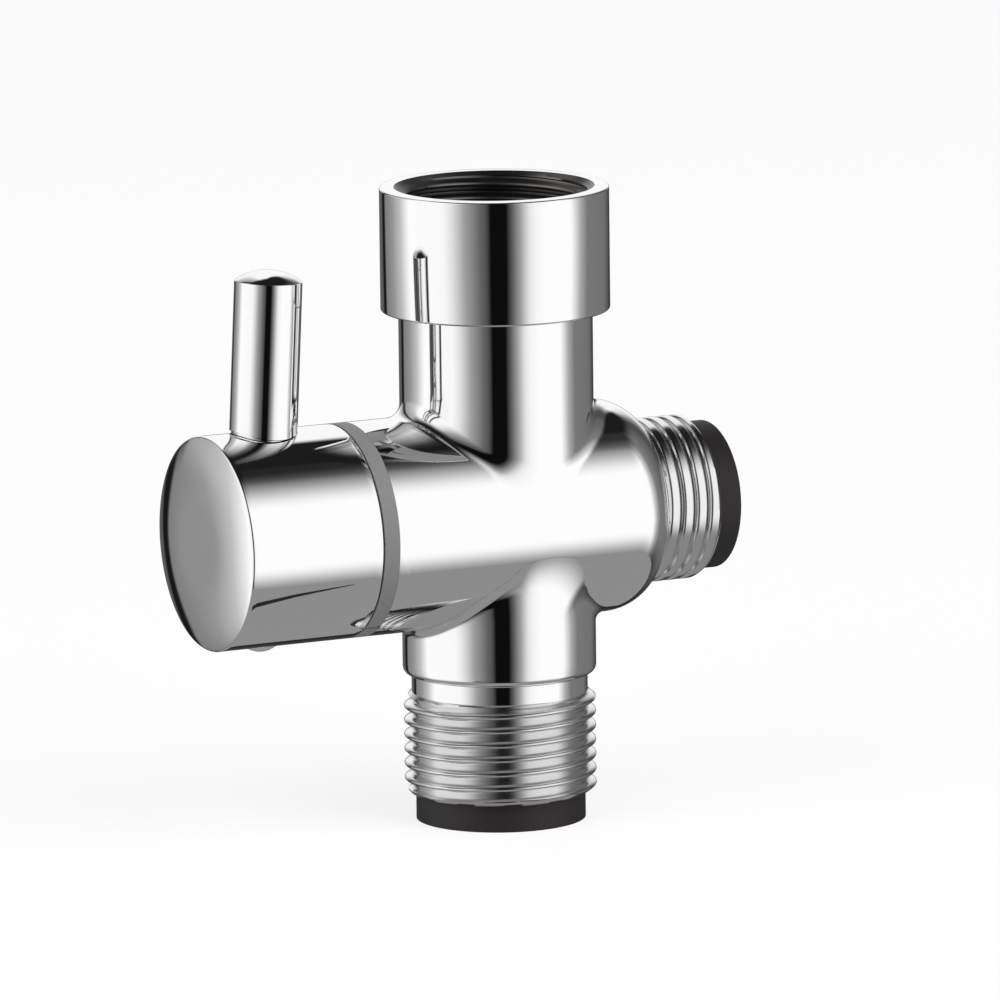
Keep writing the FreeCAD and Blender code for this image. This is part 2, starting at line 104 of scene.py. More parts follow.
# Studio: a white tent with dark gaps between its soft boxes, which is what chrome shows.
# Directions are given by their turn about the valve, from the front towards the right, and by
# their rise above the horizon.
def math_node(tree, operation, first, second=None):
    """one arithmetic step between sockets or plain numbers"""
    node = tree.nodes.new("ShaderNodeMath")
    node.operation = operation
    for socket, value in zip(node.inputs, (first, second)):
        if isinstance(value, (int, float)):
            socket.default_value = value
        elif value is not None:
            tree.links.new(value, socket)
    return node.outputs["Value"]


world = bpy.data.worlds.new("studio")
bpy.context.scene.world = world
world.use_nodes = True
tree = world.node_tree
tree.nodes.clear()
direction = tree.nodes.new("ShaderNodeTexCoord").outputs["Generated"]
parts = tree.nodes.new("ShaderNodeSeparateXYZ")
tree.links.new(direction, parts.inputs["Vector"])
across, depth, upward = parts.outputs
towards_front = math_node(tree, "MULTIPLY", depth, -1.0)
turn = math_node(tree, "ARCTAN2", across, towards_front)
rise = math_node(tree, "ARCSINE", upward)
turn_share = math_node(tree, "ADD", math_node(tree, "DIVIDE", turn, 2 * math.pi), 0.5)


def panel_ramp(tree, share, stops):
    """brightness round the valve, joined up between stops of turn in degrees and brightness"""
    ramp = tree.nodes.new("ShaderNodeValToRGB")
    band = ramp.color_ramp
    band.elements[0].position = 0.0
    band.elements[1].position = 1.0
    for degrees, brightness in stops[1:-1]:
        band.elements.new((degrees + 180) / 360)
    for element, (degrees, brightness) in zip(band.elements, stops):
        element.color = (brightness, brightness, brightness, 1)
    tree.links.new(share, ramp.inputs["Fac"])
    value = tree.nodes.new("ShaderNodeRGBToBW")
    tree.links.new(ramp.outputs["Color"], value.inputs["Color"])
    return value.outputs["Val"]


front_stops = (
    (-122, 1.05), (-80, 1.01), (-72, 0.84), (-57, 0.36), (-41, 0.13), (-36, 0.09), (-31, 0.004),
    (-15, 0.004), (-9, 0.12), (-1, 0.37), (8, 0.83), (14, 0.97), (25, 1.06))
low_stops = (
    (-180, 0.10), (-178, 0.01), (-170.5, 0.01), (-168, 0.22), (-160, 0.25), (-150, 0.32),
    (-136, 0.55), *front_stops, (56, 1.05), (62, 0.75), (69, 0.42), (80, 0.20), (116, 0.17),
    (128, 0.10), (136, 0.05), (150, 0.05), (162, 0.13), (180, 0.10))
high_stops = (
    (-180, 0.45), (-176, 0.40), (-173, 0.05), (-166, 0.05), (-163, 0.35), (-150, 0.45),
    (-136, 0.60), *front_stops, (54, 1.05), (62, 0.65), (76, 0.22), (94, 0.15), (105, 0.12),
    (112, 0.08), (121, 0.08), (129, 0.30), (136, 0.80), (142, 1.0), (168, 1.0), (180, 0.45))
fade_start_stops = (
    (-180, 54), (-150, 48), (-140, 37), (60, 35), (90, 48), (112, 38), (124, 30), (138, 34),
    (146, 43), (151, 53), (165, 56), (180, 54))
fade_stop_stops = (
    (-180, 62), (-150, 64), (-140, 67), (60, 67), (90, 67), (112, 58), (126, 48), (138, 47),
    (146, 55), (151, 61), (165, 64), (180, 62))
low_ring = panel_ramp(tree, turn_share, low_stops)
high_ring = panel_ramp(tree, turn_share, high_stops)


def step_up(tree, value, start, stop):
    """0 before start, 1 after stop, smooth between"""
    span = tree.nodes.new("ShaderNodeMapRange")
    span.interpolation_type = "SMOOTHSTEP"
    span.inputs["From Min"].default_value = start
    span.inputs["From Max"].default_value = stop
    tree.links.new(value, span.inputs["Value"])
    return span.outputs["Result"]


def rise_step(tree, rise, degrees):
    """the same step over a span of rise in degrees"""
    return step_up(tree, rise, math.radians(degrees[0]), math.radians(degrees[1]))


def blend(tree, share, first, second):
    """first where share is 0, second where it is 1"""
    more = math_node(tree, "SUBTRACT", second, first)
    return math_node(tree, "ADD", math_node(tree, "MULTIPLY", more, share), first)


rings_meet = (-5, 4)
low_dim_span = (-42, -19)
low_dim = 0.25
ceiling_level = 0.012
table_edge = (-37.5, -39.5)
table_level = 0.28
walls = blend(tree, rise_step(tree, rise, rings_meet), low_ring, high_ring)
low_fade = blend(tree, rise_step(tree, rise, low_dim_span), low_dim, 1.0)
walls = math_node(tree, "MULTIPLY", walls, low_fade)
fade_start = panel_ramp(tree, turn_share, [(way, top / 90) for way, top in fade_start_stops])
fade_stop = panel_ramp(tree, turn_share, [(way, top / 90) for way, top in fade_stop_stops])
rise_share = math_node(tree, "DIVIDE", rise, math.pi / 2)
above = math_node(tree, "SUBTRACT", rise_share, fade_start)
fade_width = math_node(tree, "SUBTRACT", fade_stop, fade_start)
ceiling = step_up(tree, math_node(tree, "DIVIDE", above, fade_width), 0.0, 1.0)
walls = blend(tree, ceiling, walls, ceiling_level)
table = rise_step(tree, rise, table_edge)
level = blend(tree, table, walls, table_level)
tent = tree.nodes.new("ShaderNodeBackground")
tent.inputs["Color"].default_value = (1, 1, 1, 1)
tree.links.new(level, tent.inputs["Strength"])
plain = tree.nodes.new("ShaderNodeBackground")
plain.inputs["Color"].default_value = (1, 1, 1, 1)
plain.inputs["Strength"].default_value = 1.0
seen = tree.nodes.new("ShaderNodeLightPath")
mix = tree.nodes.new("ShaderNodeMixShader")
tree.links.new(seen.outputs["Is Camera Ray"], mix.inputs["Fac"])
tree.links.new(tent.outputs["Background"], mix.inputs[1])
tree.links.new(plain.outputs["Background"], mix.inputs[2])
output = tree.nodes.new("ShaderNodeOutputWorld")
tree.links.new(mix.outputs["Shader"], output.inputs["Surface"])

floor_height = cad_bounds[0][2]
floor_half = 4.0
floor_glow_share = 0.82
floor_mesh = bpy.data.meshes.new("floor")
floor_mesh.from_pydata([(x * floor_half, y * floor_half, floor_height)
                        for x, y in ((-1, -1), (1, -1), (1, 1), (-1, 1))], [], [(0, 1, 2, 3)])
floor = bpy.data.objects.new("floor", floor_mesh)
bpy.context.scene.collection.objects.link(floor)
floor.visible_glossy = False
floor_paint = bpy.data.materials.new("floor_paint")
floor_paint.use_nodes = True
floor_tree = floor_paint.node_tree
floor_shader = floor_tree.nodes["Principled BSDF"]
floor_shader.inputs["Base Color"].default_value = (0.9, 0.9, 0.9, 1)
floor_shader.inputs["Roughness"].default_value = 0.9
floor_glow = floor_tree.nodes.new("ShaderNodeEmission")
floor_glow.inputs["Strength"].default_value = 1.0
floor_seen = floor_tree.nodes.new("ShaderNodeLightPath")
glow_share = math_node(floor_tree, "MULTIPLY", floor_seen.outputs["Is Camera Ray"],
                       floor_glow_share)
floor_mix = floor_tree.nodes.new("ShaderNodeMixShader")
floor_tree.links.new(glow_share, floor_mix.inputs["Fac"])
floor_tree.links.new(floor_shader.outputs["BSDF"], floor_mix.inputs[1])
floor_tree.links.new(floor_glow.outputs["Emission"], floor_mix.inputs[2])
floor_output = floor_tree.nodes["Material Output"]
floor_tree.links.new(floor_mix.outputs["Shader"], floor_output.inputs["Surface"])
floor_mesh.materials.append(floor_paint)


def hang_card(name, corners, brightness):
    """a card that only the chrome shows, from its corners in millimetres"""
    mesh = bpy.data.meshes.new(name)
    places = [tuple(value * mm for value in corner) for corner in corners]
    mesh.from_pydata(places, [], [range(len(corners))])
    card = bpy.data.objects.new(name, mesh)
    bpy.context.scene.collection.objects.link(card)
    card.visible_camera = False
    card.visible_diffuse = False
    card.visible_shadow = False
    paint = bpy.data.materials.new(name + "_paint")
    paint.use_nodes = True
    plain_glow = paint.node_tree.nodes.new("ShaderNodeEmission")
    plain_glow.inputs["Strength"].default_value = brightness
    card_output = paint.node_tree.nodes["Material Output"]
    paint.node_tree.links.new(plain_glow.outputs["Emission"], card_output.inputs["Surface"])
    mesh.materials.append(paint)


card_height = 4.5
card_brightness = 0.02
card_outline = ((-25.4, -20.9), (-17.4, -26.1), (-9.2, -29.6),
                (-9.5, -28.9), (-18.0, -23.8), (-26.2, -17.6))
hang_card("card_under_hub", [(x, y, card_height) for x, y in card_outline], card_brightness)

lamp_size = 1.3
lamp_power = 24
for name, spot in (("lamp_right", (0.5, -1.2, 1.5)), ("lamp_left", (-1.3, -0.6, 1.5))):
    lamp_data = bpy.data.lights.new(name, "AREA")
    lamp_data.size = lamp_size
    lamp_data.energy = lamp_power
    lamp = bpy.data.objects.new(name, lamp_data)
    lamp.location = spot
    lamp.rotation_euler = (-Vector(spot)).to_track_quat("-Z", "Y").to_euler()
    lamp.visible_glossy = False
    bpy.context.scene.collection.objects.link(lamp)


# Casting: one piece of brass, turned, blended by hand and chrome plated.  Collar and necks
# stand on the vertical axis, the barrel lies across them, and the blends that join them open
# up at the front and the back, where the polisher could reach.
body_low, body_high = (np.array(corner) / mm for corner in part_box("body"))
collar_r = -body_low[1]
barrel_left = body_low[0]
side_end = body_high[0]
end_face = body_low[2]
top_height = body_high[2]
hub_low, hub_high = (np.array(corner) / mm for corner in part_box("handle_hub"))
barrel_r = (hub_high[1] - hub_low[1]) / 2
neck_r = 10.55
collar_height = 13.5
step_height = 12.45
boss_end = 16.4
boss_arc_r = 5.4
side_crest_r = 9.0
upper_blend_r = 2.0
upper_front_r = 10.0
upper_swell = 0.0
upper_open_turn = -6
upper_reach = (28, 18)
lower_blend_r = 1.2
lower_front_r = 20.0
lower_swell = 2.2
lower_open_turn = 4
lower_reach = (44, 24)
edge_r = 0.25
step_edge_r = 0.8
waterway_r = 6.0
chamber_r = 8.5
chamber_left = -10.3
chamber_right = 10.6
bonnet_seat_r = 9.0
side_bore_r = 5.0
socket_reach = 12.6
seat_height = top_height - socket_reach
along_barrel = 84
round_barrel = 70
blend_rings = 14
barrel_rings = 34
barrel_crowding = 1.3
neck_rings = 6
chamber_rings = 10
thread_steps = 12
socket_steps = 10
round_steps = 5
casting_crease = 32

arc_drop = boss_arc_r - (barrel_r - side_crest_r)
arc_start = boss_end - math.sqrt(boss_arc_r ** 2 - arc_drop ** 2)


def barrel_radius(x, grown=0.0):
    """the barrel's radius, less on the arc that rounds its right end; grown moves it outwards"""
    on_arc = np.clip(x - arc_start, 0.0, None)
    centre_r = barrel_r - boss_arc_r
    return centre_r + np.sqrt((boss_arc_r + grown) ** 2 - on_arc ** 2)


def rectangle_round(left, right, radius):
    """the edge of a half barrel rolled flat: stations and turns, once round, corners included"""
    half = math.pi / 2
    side = np.linspace(0, 1, along_barrel, endpoint=False)
    end = np.linspace(0, 1, round_barrel, endpoint=False)
    x = np.concatenate([left + (right - left) * side, np.full(round_barrel, right),
                        right - (right - left) * side, np.full(round_barrel, left)])
    turn = np.concatenate([np.full(along_barrel, half), half - 2 * half * end,
                           np.full(along_barrel, -half), -half + 2 * half * end])
    return x, turn, np.unwrap(np.arctan2(-radius * turn, x))


def around_z(radius, height, angle):
    """points at each radius and height, carried round the vertical axis through the angles"""
    radius, height = np.atleast_1d(radius)[:, None], np.atleast_1d(height)[:, None]
    return np.stack([radius * np.cos(angle), radius * np.sin(angle),
                     height + 0 * angle * radius], axis=-1)


def around_x(station, radius, turn):
    """points at each station and radius, carried round the barrel's axis, from +Z towards -Y"""
    station, radius = np.atleast_1d(station)[:, None], np.atleast_1d(radius)[:, None]
    return np.stack([station + 0 * turn * radius, -radius * np.sin(turn),
                     axis_height + radius * np.cos(turn)], axis=-1)


def half_barrel(edge_x, edge_turn, hole, side, radius_at, rings):
    """rings that grow from a hole's rim to the edge of the half barrel, on the radius there"""
    hole_turn = np.arctan2(-hole[:, 1] * side, (hole[:, 2] - axis_height) * side)
    share = np.linspace(0, 1, rings)[:, None] ** barrel_crowding
    x = hole[:, 0] * (1 - share) + edge_x * share
    turn = hole_turn * (1 - share) + edge_turn * share
    radius = radius_at(x)
    return np.stack([x, -radius * np.sin(turn) * side,
                     axis_height + radius * np.cos(turn) * side], axis=-1)


def rolled_blend(angle, side, corner_r, front_r, swell, open_turn, reach):
    """rings from the neck to the barrel round a ball that rolls along their corner; about the
    open turn, in degrees from the front or the back, it grows by a broad swell and a narrow
    part, which is narrower on the left and on the right as the two numbers of reach go up"""
    turn = np.arctan2(np.cos(angle), np.abs(np.sin(angle))) - math.radians(open_turn)
    narrow = np.cos(turn) ** np.where(turn < 0, reach[0], reach[1])
    blend_r = corner_r + swell * np.cos(turn) ** 4 + (front_r - swell - corner_r) * narrow
    out = neck_r + blend_r
    x, y = out * np.cos(angle), out * np.sin(angle)
    grown = barrel_radius(x, blend_r)
    z = np.sqrt(grown ** 2 - y ** 2)
    centre = np.stack([x, y, axis_height + side * z], axis=-1)
    off_neck = np.stack([np.cos(angle), np.sin(angle), 0 * angle], axis=-1)
    centre_r = barrel_r - boss_arc_r
    on_arc = np.clip(x - arc_start, 0.0, None)
    lean = (grown - centre_r) / (boss_arc_r + blend_r)
    off_barrel = np.stack([on_arc / (boss_arc_r + blend_r), lean * y / grown,
                           lean * side * z / grown], axis=-1)
    blend_r = blend_r[:, None]
    between = np.arccos(np.clip((off_neck * off_barrel).sum(-1), -1, 1))[:, None]
    share = np.linspace(0, 1, blend_rings)[:, None, None]
    way = np.sin((1 - share) * between) * off_neck + np.sin(share * between) * off_barrel
    return centre - blend_r * (way / np.sin(between))


def ridge_shape(share, sharpness):
    """height of a thread over one pitch: a round groove at 0, narrower as sharpness grows"""
    return 1 - np.abs(np.cos(math.pi * share)) ** sharpness


def round_closed(angle):
    """the same row of angles with its first one, a full turn on, again at the end"""
    return np.concatenate([angle, angle[:1] + 2 * math.pi])


def helix_rows(angle, start, pitch, steps, low, high):
    """the height of each thread row at each angle, right-handed, held between the two ends"""
    turns = round_closed(angle)
    first = math.floor((low - start) / pitch) - 1
    last = math.ceil((high - start) / pitch) + 1
    phase = np.arange(first * steps, last * steps + 1) / steps
    height = start + pitch * (phase[:, None] + turns / (2 * math.pi))
    return turns, np.mod(phase, 1.0)[:, None] + 0 * turns, np.clip(height, low, high)


weld_distance = 0.0002 * mm


def skin(name, sheets, finishes, crease):
    """one closed mesh from sheets of points, joined at their edges, its creases kept sharp;
    each sheet comes with the number of its finish"""
    points, faces, marks, count = [], [], [], 0
    for sheet, finish in zip(sheets, finishes):
        rows, columns = sheet.shape[:2]
        index = count + np.arange(rows * columns).reshape(rows, columns)
        count += rows * columns
        points.append(sheet.reshape(-1, 3))
        quads = np.stack([index[:-1, :-1], index[:-1, 1:], index[1:, 1:], index[1:, :-1]], axis=-1)
        faces.append(quads.reshape(-1, 4))
        marks.append(np.full(len(faces[-1]), finish))
    mesh = bpy.data.meshes.new(name)
    mesh.from_pydata(np.concatenate(points) * mm, [], np.concatenate(faces))
    mesh.polygons.foreach_set("material_index", np.concatenate(marks).astype(np.int32))
    work = bmesh.new()
    work.from_mesh(mesh)
    bmesh.ops.remove_doubles(work, verts=work.verts, dist=weld_distance)
    bmesh.ops.dissolve_degenerate(work, edges=work.edges, dist=weld_distance)
    bmesh.ops.recalc_face_normals(work, faces=work.faces)
    work.to_mesh(mesh)
    work.free()
    mesh.shade_smooth()
    mesh.set_sharp_from_angle(angle=math.radians(crease))
    piece = bpy.data.objects.new(name, mesh)
    bpy.context.scene.collection.objects.link(piece)
    return piece


edge_x, edge_turn, angle = rectangle_round(barrel_left, boss_end, barrel_r)
inner_x, inner_turn, inner_angle = rectangle_round(chamber_left, chamber_right, chamber_r)
shut = np.concatenate([np.arange(len(angle)), [0]])
barrel_turn = np.linspace(math.pi / 2, -3 * math.pi / 2, 2 * round_barrel + 1)
casting = []

pipe_pitch = 1.59
pipe_crest_r = 10.4775
pipe_depth = 0.95
pipe_sharpness = 2.3
pipe_relief_r = 9.6
pipe_relief_width = 2.0
pipe_thread_top = step_height - pipe_relief_width
pipe_run_out = 1.1
pipe_phase = 9.75
chamfer = 0.65

upper = rolled_blend(angle, 1, upper_blend_r, upper_front_r, upper_swell,
                     upper_open_turn, upper_reach)
lower = rolled_blend(angle, -1, lower_blend_r, lower_front_r, lower_swell,
                     lower_open_turn, lower_reach)
casting.append(upper[:, shut])
casting.append(lower[:, shut])
for rolled, side in ((upper, 1), (lower, -1)):
    half = half_barrel(edge_x, edge_turn, rolled[-1], side, barrel_radius, barrel_rings)
    casting.append(half[:, shut])

collar_low = top_height - collar_height
neck_top = around_z(neck_r, collar_low, angle)[0]
casting.append(np.linspace(neck_top, upper[0], neck_rings)[:, shut])
neck_foot = around_z(neck_r, step_height + step_edge_r, angle)[0]
casting.append(np.linspace(neck_foot, lower[0], neck_rings)[:, shut])


def rounded(centre_r, centre_height, radius, start, stop):
    """radius and height along a quarter round, from one angle to the other in degrees"""
    way = np.radians(np.linspace(start, stop, round_steps))
    return centre_r + radius * np.cos(way), centre_height + radius * np.sin(way)


def ring_profile(*stretches):
    """stretches of radius and height set end to end"""
    return (np.concatenate([np.atleast_1d(s[0]) for s in stretches]),
            np.concatenate([np.atleast_1d(s[1]) for s in stretches]))


mouth_bevel = 0.42
mouth_r = pipe_crest_r + mouth_bevel
collar = ring_profile(
    (neck_r, collar_low),
    rounded(collar_r - edge_r, collar_low + edge_r, edge_r, -90, 0),
    rounded(collar_r - edge_r, top_height - edge_r, edge_r, 0, 90),
    (mouth_r, top_height))
casting.append(around_z(*collar, round_closed(angle)))
socket_walls = [len(casting)]
socket_top = top_height - mouth_bevel
casting.append(around_z([mouth_r, pipe_crest_r], [top_height, socket_top], round_closed(angle)))

foot = ring_profile(
    rounded(neck_r - step_edge_r, step_height + step_edge_r, step_edge_r, 0, -90),
    (pipe_relief_r, step_height),
    (pipe_relief_r, pipe_thread_top))
casting.append(around_z(*foot, round_closed(angle)))


def pipe_envelope(height):
    """the most that the thread may reach: bevelled at its lower end, run out at its upper end"""
    bevel = pipe_crest_r - chamfer + (height - end_face)
    run_out = pipe_relief_r + pipe_run_out * (pipe_thread_top - height)
    return np.minimum(np.minimum(bevel, run_out), pipe_crest_r)


turns, share, height = helix_rows(angle, pipe_phase, pipe_pitch, thread_steps,
                                  end_face, pipe_thread_top)
root_r = pipe_crest_r - pipe_depth
ridge = root_r + pipe_depth * ridge_shape(np.mod(share + 0.5, 1.0), pipe_sharpness)
ridge = np.minimum(ridge, pipe_envelope(height))
ridge = np.where(height >= pipe_thread_top, pipe_relief_r, ridge)
ridge = np.where(height <= end_face, root_r, ridge)
cut_threads = [len(casting)]
casting.append(np.stack([ridge * np.cos(turns), ridge * np.sin(turns), height], axis=-1))

outer_rim = around_z(root_r, end_face, angle)[0]
inner_rim = around_z(waterway_r, end_face, inner_angle)[0]
casting.append(np.linspace(outer_rim, inner_rim, 3)[:, shut])

hole = np.stack([waterway_r * np.cos(inner_angle), waterway_r * np.sin(inner_angle),
                 np.sqrt(chamber_r ** 2 - (waterway_r * np.sin(inner_angle)) ** 2)], axis=-1)
for side, far_height in ((1, seat_height), (-1, end_face)):
    rim = hole * (1, 1, side) + (0, 0, axis_height)
    far = around_z(waterway_r, far_height, inner_angle)[0]
    casting.append(np.linspace(far, rim, 3)[:, shut])
    half = half_barrel(inner_x, inner_turn, rim, side, lambda x: chamber_r + 0 * x, chamber_rings)
    casting.append(half[:, shut])

socket_pitch = 1.6
socket_depth = 0.75
socket_sharpness = 2.5
socket_run_out = 1.2
socket_relief_r = 10.9
socket_relief_width = 3.3
socket_relief_top = seat_height + socket_relief_width
socket_low = socket_relief_top + socket_relief_r - pipe_crest_r
seat_rim = around_z(waterway_r, seat_height, inner_angle)[0]
seat_edge = around_z(socket_relief_r, seat_height, angle)[0]
casting.append(np.linspace(seat_rim, seat_edge, 3)[:, shut])
socket_walls += [len(casting), len(casting) + 1]
casting.append(around_z([socket_relief_r, socket_relief_r, pipe_crest_r],
                        [seat_height, socket_relief_top, socket_low], round_closed(angle)))
turns, share, height = helix_rows(angle, socket_low, socket_pitch, socket_steps,
                                  socket_low, socket_top)
near_end = np.minimum(socket_top - height, height - socket_low)
ridge = pipe_crest_r - np.minimum(socket_depth * ridge_shape(share, socket_sharpness),
                                  socket_run_out * near_end)
casting.append(np.stack([ridge * np.cos(turns), ridge * np.sin(turns), height], axis=-1))

casting.append(around_x([barrel_left, barrel_left, chamber_left, chamber_left],
                        [barrel_r, bonnet_seat_r, bonnet_seat_r, chamber_r], barrel_turn))

side_pitch = 1.64
side_depth = 0.45
side_sharpness = 12.0
side_root_r = side_crest_r - side_depth
side_end_r = side_crest_r - chamfer
side_phase = 17.66
casting.append(around_x([chamber_right, chamber_right, side_end, side_end],
                        [chamber_r, side_bore_r, side_bore_r, side_end_r], barrel_turn))
turns, share, station = helix_rows(-barrel_turn[:-1], side_phase, side_pitch, thread_steps,
                                   boss_end, side_end)
bevel = side_end_r + (side_end - station)
ridge = side_root_r + side_depth * ridge_shape(np.mod(share + 0.5, 1.0), side_sharpness)
ridge = np.minimum(ridge, np.minimum(bevel, side_crest_r))
ridge = np.where(station <= boss_end, side_crest_r, ridge)
ridge = np.where(station >= side_end, side_end_r, ridge)
cut_threads.append(len(casting))
casting.append(np.stack([station, ridge * np.sin(turns),
                         axis_height + ridge * np.cos(turns)], axis=-1))

# Finishes by number: 0 chrome plate, 1 cut threads, 2 socket walls
finishes = [2 if k in socket_walls else 1 if k in cut_threads else 0
            for k in range(len(casting))]
valve_casting = skin("valve_casting", casting, finishes, crease=casting_crease)
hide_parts("body")
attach(valve_casting, "valve")


def new_finish(name):
    """a new material, the place on the piece where it is read, its shader and its tree"""
    paint = bpy.data.materials.new(name)
    paint.use_nodes = True
    place = paint.node_tree.nodes.new("ShaderNodeTexCoord").outputs["Object"]
    return paint, place, paint.node_tree.nodes["Principled BSDF"], paint.node_tree


def noise_cloud(tree, place, scale, detail):
    """a cloudy pattern with as many clouds to the metre as its scale"""
    cloud = tree.nodes.new("ShaderNodeTexNoise")
    cloud.inputs["Scale"].default_value = scale
    cloud.inputs["Detail"].default_value = detail
    tree.links.new(place, cloud.inputs["Vector"])
    return cloud.outputs["Fac"]


def roughen(tree, shader, cloud, strength, height):
    """lets a cloud lift a shader's surface a little"""
    bump = tree.nodes.new("ShaderNodeBump")
    bump.inputs["Strength"].default_value = strength
    bump.inputs["Distance"].default_value = height
    tree.links.new(cloud, bump.inputs["Height"])
    tree.links.new(bump.outputs["Normal"], shader.inputs["Normal"])


polish_scale = 140
polish_range = (0.6, 1.6)
ripple_scale = 260
ripple_height = 0.02 * mm


def plating(name, tint, roughness, ripple):
    """chrome plate: bright metal whose polish varies a little, on a skin a touch uneven"""
    paint, place, shader, tree = new_finish(name)
    shader.inputs["Base Color"].default_value = (*tint, 1)
    shader.inputs["Metallic"].default_value = 1.0
    polish = tree.nodes.new("ShaderNodeMapRange")
    polish.inputs["To Min"].default_value = roughness * polish_range[0]
    polish.inputs["To Max"].default_value = roughness * polish_range[1]
    tree.links.new(noise_cloud(tree, place, polish_scale, 3), polish.inputs["Value"])
    tree.links.new(polish.outputs["Result"], shader.inputs["Roughness"])
    roughen(tree, shader, noise_cloud(tree, place, ripple_scale, 1), ripple, ripple_height)
    return paint


chrome = plating("chrome_plate", (0.93, 0.93, 0.935), 0.035, 0.06)
thread_chrome = plating("thread_chrome", (0.82, 0.82, 0.825), 0.15, 0.25)
socket_metal = plating("socket_metal", (0.20, 0.195, 0.19), 0.30, 0.8)
for finish in (chrome, thread_chrome, socket_metal):
    valve_casting.data.materials.append(finish)


# Hub: a cup of brass with a flat middle on its face, a crowned band round it and edges that
# the polishing has rounded.  It is open over the gland, the insert sits in its bore between
# two flats, and the lever and the set screw have holes in its side.
hub_open_end = hub_high[0]
hub_flat_r = 4.2
hub_crown_r = 25.5
hub_edge_r = 0.28
hub_mouth_edge_r = 0.15
hub_wall = 1.96
hub_cavity_r = barrel_r - hub_wall
hub_cavity_depth = 6.25
hub_cavity_end = hub_open_end - hub_cavity_depth
hub_bore_r = 6.47
hub_bore_flat = 5.92
hub_bore_depth = 12.65
hub_bore_end = hub_open_end - hub_bore_depth
hub_crown_rows = 14
hub_edge_rows = 9
hub_mouth_rows = 5
hub_side_rows = 24
hub_columns = 192
hub_crease = 35


def full_turn(columns):
    """angles once round, the last one the same as the first"""
    turns = np.linspace(0, 2 * math.pi, columns + 1)
    turns[-1] = 0.0
    return turns


crown_reach = math.asin((barrel_r - hub_edge_r - hub_flat_r) / (hub_crown_r - hub_edge_r))
crown_turn = np.linspace(0, crown_reach, hub_crown_rows)
crown_x = hub_low[0] + hub_crown_r * (1 - np.cos(crown_turn))
crown_r = hub_flat_r + hub_crown_r * np.sin(crown_turn)
edge_way = np.linspace(crown_reach, math.pi / 2, hub_edge_rows)
edge_x0 = crown_x[-1] + hub_edge_r * math.cos(crown_reach)
edge_r0 = crown_r[-1] - hub_edge_r * math.sin(crown_reach)
mouth_way = np.linspace(0, math.pi / 2, hub_mouth_rows)
hub_side_x = np.linspace(edge_x0, hub_open_end - hub_mouth_edge_r, hub_side_rows + 2)[1:-1]
hub_x = np.concatenate([
    [hub_low[0]], crown_x, edge_x0 - hub_edge_r * np.cos(edge_way), hub_side_x,
    hub_open_end - hub_mouth_edge_r * (1 - np.sin(mouth_way)),
    [hub_open_end, hub_cavity_end, hub_cavity_end, hub_bore_end, hub_bore_end]])
hub_r = np.concatenate([
    [0.0], crown_r, edge_r0 + hub_edge_r * np.sin(edge_way), np.full(hub_side_rows, barrel_r),
    barrel_r - hub_mouth_edge_r * (1 - np.cos(mouth_way)),
    [hub_cavity_r, hub_cavity_r, hub_bore_r, hub_bore_r, 0.0]])
hub_turns = full_turn(hub_columns)
hub_points = around_x(hub_x, hub_r, hub_turns)
bore_rows = (-3, -2)
flat_reach = hub_bore_flat / np.maximum(np.abs(np.sin(hub_turns)), 0.01)
flat_sided = np.minimum(hub_bore_r, flat_reach)
for row in bore_rows:
    hub_points[row, :, 1] = -flat_sided * np.sin(hub_turns)
    hub_points[row, :, 2] = axis_height + flat_sided * np.cos(hub_turns)
hub_skin = skin("hub_skin", [hub_points], [0], crease=hub_crease)
hub_skin.data.materials.append(chrome)


drill_columns = 72


def drill(piece, station, incline, radius, low, high):
    """takes a round hole out of a piece, square to the barrel's axis but for the incline"""
    way = Vector((math.sin(incline), 0, math.cos(incline)))
    middle = Vector((station, 0, axis_height)) + way * (low + high) / 2
    turned = Matrix.Translation(middle * mm) @ way.to_track_quat("Z", "Y").to_matrix().to_4x4()
    mesh = bpy.data.meshes.new("drill")
    work = bmesh.new()
    bmesh.ops.create_cone(work, cap_ends=True, segments=drill_columns, radius1=radius * mm,
                          radius2=radius * mm, depth=abs(high - low) * mm, matrix=turned)
    work.to_mesh(mesh)
    work.free()
    tool = bpy.data.objects.new("drill", mesh)
    bpy.context.scene.collection.objects.link(tool)
    cut = piece.modifiers.new("cut", "BOOLEAN")
    cut.operation = "DIFFERENCE"
    cut.solver = "EXACT"
    cut.object = tool
    bpy.context.view_layer.update()
    whole = piece.evaluated_get(bpy.context.evaluated_depsgraph_get())
    drilled = bpy.data.meshes.new_from_object(whole)
    piece.modifiers.clear()
    piece.data = drilled
    bpy.data.objects.remove(tool)


lever_station = -28.8
lever_incline = math.radians(3.0)
grub_station = -29.0
lever_seat_r = 3.70
lever_seat_depth = 0.96
lever_seat_low = barrel_r - lever_seat_depth
tapped_r = 2.02
drill_top = barrel_r + 1
drill(hub_skin, lever_station, lever_incline, lever_seat_r, lever_seat_low, drill_top)
drill(hub_skin, lever_station, lever_incline, tapped_r, 0, drill_top)
drill(hub_skin, grub_station, math.pi, tapped_r, 0, drill_top)
hub_skin.data.shade_smooth()
hub_skin.data.set_sharp_from_angle(angle=math.radians(hub_crease))
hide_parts("handle_hub")
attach(hub_skin, "handle")


